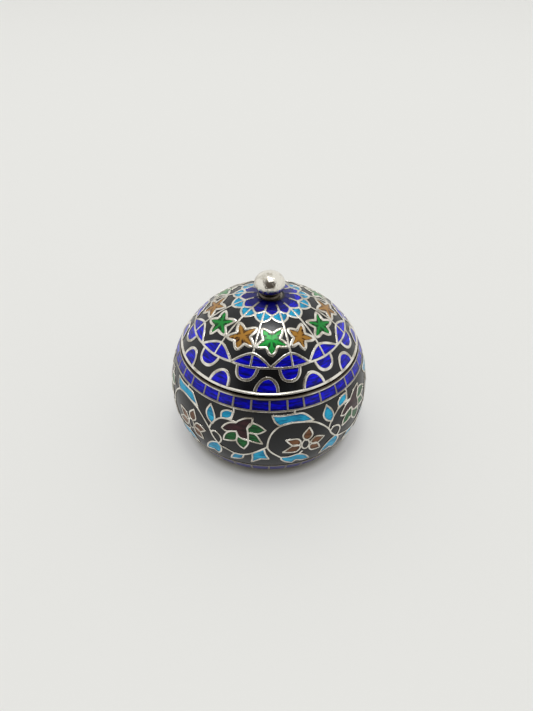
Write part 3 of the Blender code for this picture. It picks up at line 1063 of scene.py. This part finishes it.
def bowl_pattern(bowl, number):
    """Cells and wires of one repeat of the scroll, drawn flat on the bowl."""
    def place(points):
        return [bowl.at(scroll_turn(degrees, number), height) for degrees, height in points]

    cells = []
    wires = []
    for points, corners in LEAVES.values():
        outline = flowing(place(points), True, corners)
        cells.append(("turquoise", outline, None))
        wires.append((outline, True, 1.0))
    centre = Vector(place([BROWN_CENTRE])[0])
    for degrees, length_out, half_width in BROWN_PETALS:
        outline = flowing([tuple(centre + step) for step in petal_outline(degrees, length_out, half_width)],
                          True, (0, 3))
        cells.append(("brown", outline, None))
        wires.append((outline, True, FLOWER_GIRTH))
    eye = [tuple(centre + Vector((math.cos(turn) * 0.85, math.sin(turn) * 1.30)))
           for turn in np.linspace(0.0, 2.0 * math.pi, 24, endpoint=False)]
    wires.append((eye, True, FLOWER_GIRTH))
    outline = flowing(place(MAROON[0]), True, MAROON[1])
    cells.append(("maroon", outline, None))
    wires.append((outline, True, FLOWER_GIRTH))
    for points, corners in GREEN_PETALS:
        outline = flowing(place(points), True, corners)
        cells.append(("green", outline, None))
        wires.append((outline, True, FLOWER_GIRTH))
    for points in VINES:
        wires.append((flowing(place(points), False), False, 1.0))
    return cells, wires


def divider_turn(index):
    """Angle of one divider of a band of squares, set by eye and so a little uneven."""
    return 360.0 / SQUARES * index + SQUARE_SWAY[index % len(SQUARE_SWAY)]


def band_pattern(bowl, low, high):
    """Cobalt squares and the wires between them, for one band."""
    cells = []
    wires = []
    for index in range(SQUARES):
        start = divider_turn(index)
        end = divider_turn(index + 1) if index + 1 < SQUARES else divider_turn(0) + 360.0
        corners = [bowl.at(start, low), bowl.at(end, low), bowl.at(end, high), bowl.at(start, high)]
        cells.append(("cobalt", corners, None))
        wires.append(([bowl.at(start, low), bowl.at(start, high)], False, 1.0))
    return cells, wires


def border(bowl, height):
    """A wire right round the bowl at a height."""
    return ([bowl.at(4.0 * step, height) for step in range(91)], False, BORDER_GIRTH)


def zone(node):
    """Lowest and highest level of an enamel zone of the bowl, in millimetres."""
    return corner(node, False)[2] / MM, corner(node, True)[2] / MM


# Operators


class BOX_OT_silver_bowl(bpy.types.Operator):
    """Turn the silver bowl with its sunk zones, floor, inner wall and lip"""

    bl_idname = "trinket_box.silver_bowl"
    bl_label = "Silver bowl"

    def execute(self, context):
        size = sizes()
        bowl = Bowl()
        depth = size.enamel_depth / MM
        wall = depth + size.silver_wall / MM
        skin = bowl.below_height
        floor = size.floor_thickness / MM
        mouth = bowl.mouth
        skirt = (corner("lid_rim", True)[0] - size.rim_wire_width) / MM - JOINT_GAP
        lip = skirt - (size.silver_wall + size.lid_clearance) / MM
        lip_inner = lip - size.lip_thickness / MM
        lip_top = mouth + size.lip_rise / MM
        profile = [(0.0, floor)]
        inner = [skin(height, wall) for height in np.linspace(floor * 1.5, mouth - size.lip_root / MM, 40)]
        profile.append((inner[0][0] - floor * 0.5, floor))
        profile += inner
        profile += [(lip_inner, mouth), (lip_inner, lip_top - 0.15), (lip_inner + 0.15, lip_top),
                    (lip - 0.2, lip_top), (lip, lip_top - 0.2), (lip, mouth)]
        profile.append((skin(mouth, 0.0)[0] - MOUTH_ROUND, mouth))
        for node in ("bowl_band_enamel", "bowl_field_enamel", "bowl_foot_enamel"):
            low, high = zone(node)
            low -= JOINT_GAP
            high += BAND_RAISED if node == "bowl_band_enamel" else JOINT_GAP
            profile.append(skin(min(high, mouth - MOUTH_ROUND), 0.0))
            profile += [skin(height, depth) for height in np.linspace(high, low, 40)]
            profile.append(skin(low, 0.0))
        profile += [skin(height, 0.0) for height in np.linspace(low * 0.8, 0.35, 6)]
        # The foot's edge is rounded off, and the underside is flat
        base = skin(0.0, 0.0)[0]
        profile += [(base - 0.05, 0.12), (base - 0.25, 0.0), (0.0, 0.0)]
        piece = turned("silver_bowl", profile, BODY_STEPS, False)
        finish_piece(piece, "polished silver", "silver", "bowl")
        return {"FINISHED"}


class BOX_OT_silver_lid(bpy.types.Operator):
    """Turn the silver lid with its half-round edge wire"""

    bl_idname = "trinket_box.silver_lid"
    bl_label = "Silver lid"

    def execute(self, context):
        size = sizes()
        dome = Dome()
        depth = size.enamel_depth / MM
        wall = depth + size.silver_wall / MM
        rim_low = corner("lid_rim", False)[2] / MM
        rim_high = corner("lid_rim", True)[2] / MM
        rim_outer = corner("lid_rim", True)[0] / MM
        skirt = rim_outer - size.rim_wire_width / MM - JOINT_GAP
        skin = dome.below
        seat = corner("finial_collar", True)[0] / MM + JOINT_GAP
        seat_height = corner("finial_collar", False)[2] / MM - JOINT_GAP
        shoulder = (size.mouth_height + size.lip_rise) / MM + LIP_HEADROOM
        profile = [(0.0, seat_height), (seat, seat_height), skin(seat, 0.0), skin(ENAMEL_START, 0.0)]
        profile += [skin(along, depth) for along in np.linspace(ENAMEL_START, dome.edge - 0.6, 50)]
        profile += [(skirt, rim_high), (skirt, rim_low), (skirt - size.silver_wall / MM, rim_low),
                    (skirt - size.silver_wall / MM, shoulder)]
        profile += [skin(along, wall) for along in np.linspace(dome.edge * 0.82, dome.edge / 20.0, 36)]
        profile.append((0.0, dome.top - wall))
        piece = turned("silver_lid", profile, BODY_STEPS, False)
        finish_piece(piece, "polished silver", "silver", "lid")
        inner = rim_outer - size.rim_wire_width / MM
        half = (rim_high - rim_low) / 2.0
        section = []
        for angle in np.linspace(math.pi / 2.0, -math.pi / 2.0, 17):
            reach = inner + (rim_outer - inner) * math.cos(angle)
            section.append((reach, rim_low + half + half * math.sin(angle)))
        rim = turned("rim_wire", section, RIM_STEPS, True)
        finish_piece(rim, "polished silver", "silver", "lid_rim")
        return {"FINISHED"}


class BOX_OT_knob(bpy.types.Operator):
    """Turn the ball knob and its collar"""

    bl_idname = "trinket_box.knob"
    bl_label = "Knob"

    def execute(self, context):
        low = corner("finial_ball", False)
        high = corner("finial_ball", True)
        radius = sizes().knob_radius / MM
        half_height = (high[2] - low[2]) / 2.0 / MM
        centre = (high[2] + low[2]) / 2.0 / MM
        ball = [(radius * math.sin(angle), centre + half_height * math.cos(angle))
                for angle in np.linspace(0.0, math.pi, 49)]
        ball[0] = (0.0, ball[0][1])
        ball[-1] = (0.0, ball[-1][1])
        piece = turned("knob_ball", ball, KNOB_STEPS, False)
        finish_piece(piece, "cast silver", "silver", "finial_ball")
        foot = corner("finial_collar", True)[0] / MM
        base = corner("finial_collar", False)[2] / MM
        # The collar's top is dished to take the ball
        section = []
        for reach in np.linspace(0.0, foot * 0.87, 12):
            level = math.sqrt(1.0 - (reach / (radius + JOINT_GAP)) ** 2)
            section.append((reach, centre - (half_height + JOINT_GAP) * level))
        section += [(foot * 0.93, section[-1][1] - 0.04), (foot * 0.98, section[-1][1] - 0.2),
                    (foot, base + 0.3), (foot, base), (0.0, base)]
        collar = turned("knob_collar", section, KNOB_STEPS, False)
        # The collar takes the darkened silver: painted shade under the ball
        finish_piece(collar, "dull shaded silver", "silver", "finial_collar")
        return {"FINISHED"}


class BOX_OT_lid_enamel(bpy.types.Operator):
    """Lay the lid's wires and pour its enamels"""

    bl_idname = "trinket_box.lid_enamel"
    bl_label = "Lid enamel"

    def execute(self, context):
        size = sizes()
        dome = Dome()
        cells, wires, spokes = lid_pattern(dome)
        back = size.enamel_depth / MM - JOINT_GAP
        alongs = np.linspace(ENAMEL_START, dome.edge - 0.05, 60)
        section = [dome.below(along, GROUND_SUNK) for along in alongs]
        section += [dome.below(along, back) for along in alongs[::-1]]
        ground = turned("lid_black", section, BODY_STEPS, True)
        finish_piece(ground, "black enamel", "black_enamel", "lid_enamel")
        for kind in ("cobalt", "turquoise", "green", "amber"):
            pitch = STAR_PITCH if kind in ("green", "amber") else LID_PITCH
            piece = pour(f"lid_{kind}", dome, cells, kind, pitch)
            finish_piece(piece, f"{kind} enamel", f"{kind}_enamel", "lid_enamel")
        metal = finishes()["wire silver"]
        net = lay_wires("lid_wires", dome, wires, size.wire_width, size.wire_rise, metal)
        finish_piece(net, "wire silver", "silver", "lid_enamel")
        rays = lay_wires("lid_spokes", dome, spokes, size.spoke_width, size.wire_rise, metal)
        finish_piece(rays, "wire silver", "silver", "lid_enamel")
        return {"FINISHED"}


class BOX_OT_bowl_enamel(bpy.types.Operator):
    """Lay the bowl's wires and pour its enamels"""

    bl_idname = "trinket_box.bowl_enamel"
    bl_label = "Bowl enamel"

    def execute(self, context):
        size = sizes()
        bowl = Bowl()
        back = size.enamel_depth / MM - JOINT_GAP
        low, high = zone("bowl_field_enamel")
        heights = np.linspace(high, low, 50)
        section = [bowl.below_height(height, GROUND_SUNK) for height in heights]
        section += [bowl.below_height(height, back) for height in heights[::-1]]
        ground = turned("bowl_black", section, BODY_STEPS, True)
        finish_piece(ground, "black enamel", "black_enamel", "bowl_field_enamel")
        cells = []
        wires = []
        for number in range(-1, SCROLL_REPEATS - 1):
            more_cells, more_wires = bowl_pattern(bowl, number)
            cells += more_cells
            wires += more_wires
        for kind in ("turquoise", "green", "brown", "maroon"):
            piece = pour(f"bowl_{kind}", bowl, cells, kind, SCROLL_PITCH)
            finish = "dark green enamel" if kind == "green" else f"{kind} enamel"
            finish_piece(piece, finish, f"{kind}_enamel", "bowl_field_enamel")
        half_border = size.border_width / MM / 2.0
        borders = []
        for node in ("bowl_band_enamel", "bowl_foot_enamel"):
            band_low, band_high = zone(node)
            if node == "bowl_band_enamel":
                band_high += SQUARES_RAISED
            band_cells, band_wires = band_pattern(bowl, band_low, band_high)
            label = node.replace("_enamel", "_cobalt")
            piece = pour(label, bowl, band_cells, "cobalt", SQUARE_PITCH)
            # The foot band takes the darker cobalt, painted shade
            finish = "shaded foot cobalt enamel" if node == "bowl_foot_enamel" else "cobalt enamel"
            finish_piece(piece, finish, "cobalt_enamel", node)
            borders += band_wires
            lifted = half_border * (1.6 if node == "bowl_band_enamel" else 1.0)
            borders.append(border(bowl, band_high + lifted))
            borders.append(border(bowl, band_low - half_border))
        metal = finishes()["wire silver"]
        net = lay_wires("bowl_wires", bowl, wires, size.scroll_width, size.wire_rise, metal)
        finish_piece(net, "wire silver", "silver", "bowl_field_enamel")
        # The wires round and between the squares take the darkened silver, with its painted shade
        dull = finishes()["dull shaded silver"]
        rails = lay_wires("bowl_borders", bowl, borders, size.border_width, size.wire_rise, dull)
        finish_piece(rails, "dull shaded silver", "silver", "bowl_field_enamel")
        return {"FINISHED"}


# Table, room, lamp and camera

# How far from the box's middle the paper starts to glow, where it glows in full, and how much
GLOW_START = 0.0187
GLOW_FULL = 0.0214
GLOW = 0.55
ROOM_LIGHT = (1.0, 1.0, 0.97, 1.0)
ROOM_DARK = (0.13, 0.115, 0.10, 1.0)
ROOM_STRENGTH = 0.90
LAMP_HEIGHT = 1.60
LAMP_SIDE = 0.50
LAMP_POWER = 6.3
# Small turns of the camera in degrees: sideways, upwards and about its own axis
CAMERA_TURNS = (-0.28, 0.23, 0.54)
TABLE_REACH = 1.5


def turned_pair(first, second, angle):
    """Two directions at a right angle, turned from the first towards the second."""
    return (first * math.cos(angle) + second * math.sin(angle),
            second * math.cos(angle) - first * math.sin(angle))


class BOX_OT_stage(bpy.types.Operator):
    """Set the table, the light and the camera"""

    bl_idname = "trinket_box.stage"
    bl_label = "Stage"

    def execute(self, context):
        settings = context.scene.stage_settings
        mesh = bpy.data.meshes.new("table")
        corners = [(across * TABLE_REACH, back * TABLE_REACH, 0.0)
                   for across, back in ((-1, -1), (1, -1), (1, 1), (-1, 1))]
        mesh.from_pydata(corners, [], [(0, 1, 2, 3)])
        table = bpy.data.objects.new("table", mesh)
        context.scene.collection.objects.link(table)
        material, tree, shader = new_material("table paper")
        shader.inputs["Base Color"].default_value = linear(settings.floor)
        shader.inputs["Roughness"].default_value = 0.6
        # The paper glows a little, except under the box, which keeps the contact shadow faint
        place = add_node(tree, "ShaderNodeTexCoord").outputs["Object"]
        away = add_node(tree, "ShaderNodeVectorMath", {"operation": "LENGTH"}, {0: place}).outputs["Value"]
        glow = eased_range(tree, away, GLOW_START, GLOW_FULL, GLOW)
        shader.inputs["Emission Color"].default_value = linear(settings.floor)
        tree.links.new(glow, shader.inputs["Emission Strength"])
        mesh.materials.append(material)
        self.surroundings(context)
        self.lamp(context)
        self.camera(context, settings)
        # A plain display curve, so that the enamels keep their full colour
        context.scene.view_settings.view_transform = "Standard"
        return {"FINISHED"}

    def surroundings(self, context):
        """A pale room all round, darker towards the camera's side as a studio's open front is."""
        world = bpy.data.worlds.new("studio")
        context.scene.world = world
        world.use_nodes = True
        tree = world.node_tree
        place = add_node(tree, "ShaderNodeTexCoord")
        axes = add_node(tree, "ShaderNodeSeparateXYZ", None, {"Vector": place.outputs["Generated"]})
        aside = add_node(tree, "ShaderNodeMath", {"operation": "ABSOLUTE"}, {0: axes.outputs["X"]})
        # The dark part is soft-edged, before the box and from the table almost up to the lamp
        middle = eased_range(tree, aside.outputs[0], 0.75, 0.45)
        front = eased_range(tree, axes.outputs["Y"], -0.10, -0.32)
        low = eased_range(tree, axes.outputs["Z"], 0.97, 0.86)
        share = reckon(tree, "MULTIPLY", reckon(tree, "MULTIPLY", front, low), middle)
        light = tree.nodes["Background"]
        tree.links.new(blended(tree, share, ROOM_LIGHT, ROOM_DARK), light.inputs["Color"])
        light.inputs["Strength"].default_value = ROOM_STRENGTH

    def lamp(self, context):
        """A square softbox straight above the box."""
        data = bpy.data.lights.new("window_above", "AREA")
        data.shape = "SQUARE"
        data.size = LAMP_SIDE
        data.energy = LAMP_POWER
        lamp = bpy.data.objects.new("window_above", data)
        context.scene.collection.objects.link(lamp)
        lamp.location = (0.0, 0.0, LAMP_HEIGHT)

    def camera(self, context, settings):
        """The camera at the photograph's angle, with its slight turn, tilt and roll."""
        elevation = settings.camera_elevation
        yaw, tilt, roll = (math.radians(value) for value in CAMERA_TURNS)
        forward = Vector((0.0, math.cos(elevation), -math.sin(elevation)))
        right = Vector((1.0, 0.0, 0.0))
        up = right.cross(forward)
        place = -forward * settings.camera_distance + Vector((0.0, 0.0, settings.aim_height))
        forward, right = turned_pair(forward, right, yaw)
        forward, up = turned_pair(forward, up, tilt)
        right, up = turned_pair(right, up, roll)
        data = bpy.data.cameras.new("camera")
        data.sensor_width = 36.0
        data.lens = settings.lens
        data.clip_start = 0.005
        camera = bpy.data.objects.new("camera", data)
        context.scene.collection.objects.link(camera)
        turn = Matrix((right, up, -forward)).transposed().to_4x4()
        camera.matrix_world = Matrix.Translation(place) @ turn
        context.scene.camera = camera


class BOX_PT_panel(bpy.types.Panel):
    """Lists the box's pieces in the sidebar"""

    bl_label = "Trinket box"
    bl_idname = "BOX_PT_panel"
    bl_space_type = "VIEW_3D"
    bl_region_type = "UI"
    bl_category = "Trinket box"

    def draw(self, context):
        for operator in OPERATORS:
            self.layout.operator(operator.bl_idname)


GROUPS = (BoxSizes, EnamelColours, StageSettings)
OPERATORS = (
    BOX_OT_stage, BOX_OT_silver_bowl, BOX_OT_silver_lid, BOX_OT_knob, BOX_OT_lid_enamel, BOX_OT_bowl_enamel)


def register():
    """Registers the classes and hangs the settings on the scene."""
    for item in GROUPS + OPERATORS + (BOX_PT_panel,):
        bpy.utils.register_class(item)
    bpy.types.Scene.box_sizes = bpy.props.PointerProperty(type=BoxSizes)
    bpy.types.Scene.enamel_colours = bpy.props.PointerProperty(type=EnamelColours)
    bpy.types.Scene.stage_settings = bpy.props.PointerProperty(type=StageSettings)


def unregister():
    """Undoes register."""
    for name in ("box_sizes", "enamel_colours", "stage_settings"):
        delattr(bpy.types.Scene, name)
    for item in reversed(GROUPS + OPERATORS + (BOX_PT_panel,)):
        bpy.utils.unregister_class(item)


def main():
    register()
    bpy.ops.trinket_box.stage()
    bpy.ops.trinket_box.silver_bowl()
    bpy.ops.trinket_box.silver_lid()
    bpy.ops.trinket_box.knob()
    bpy.ops.trinket_box.lid_enamel()
    bpy.ops.trinket_box.bowl_enamel()


if __name__ == "__main__":
    main()
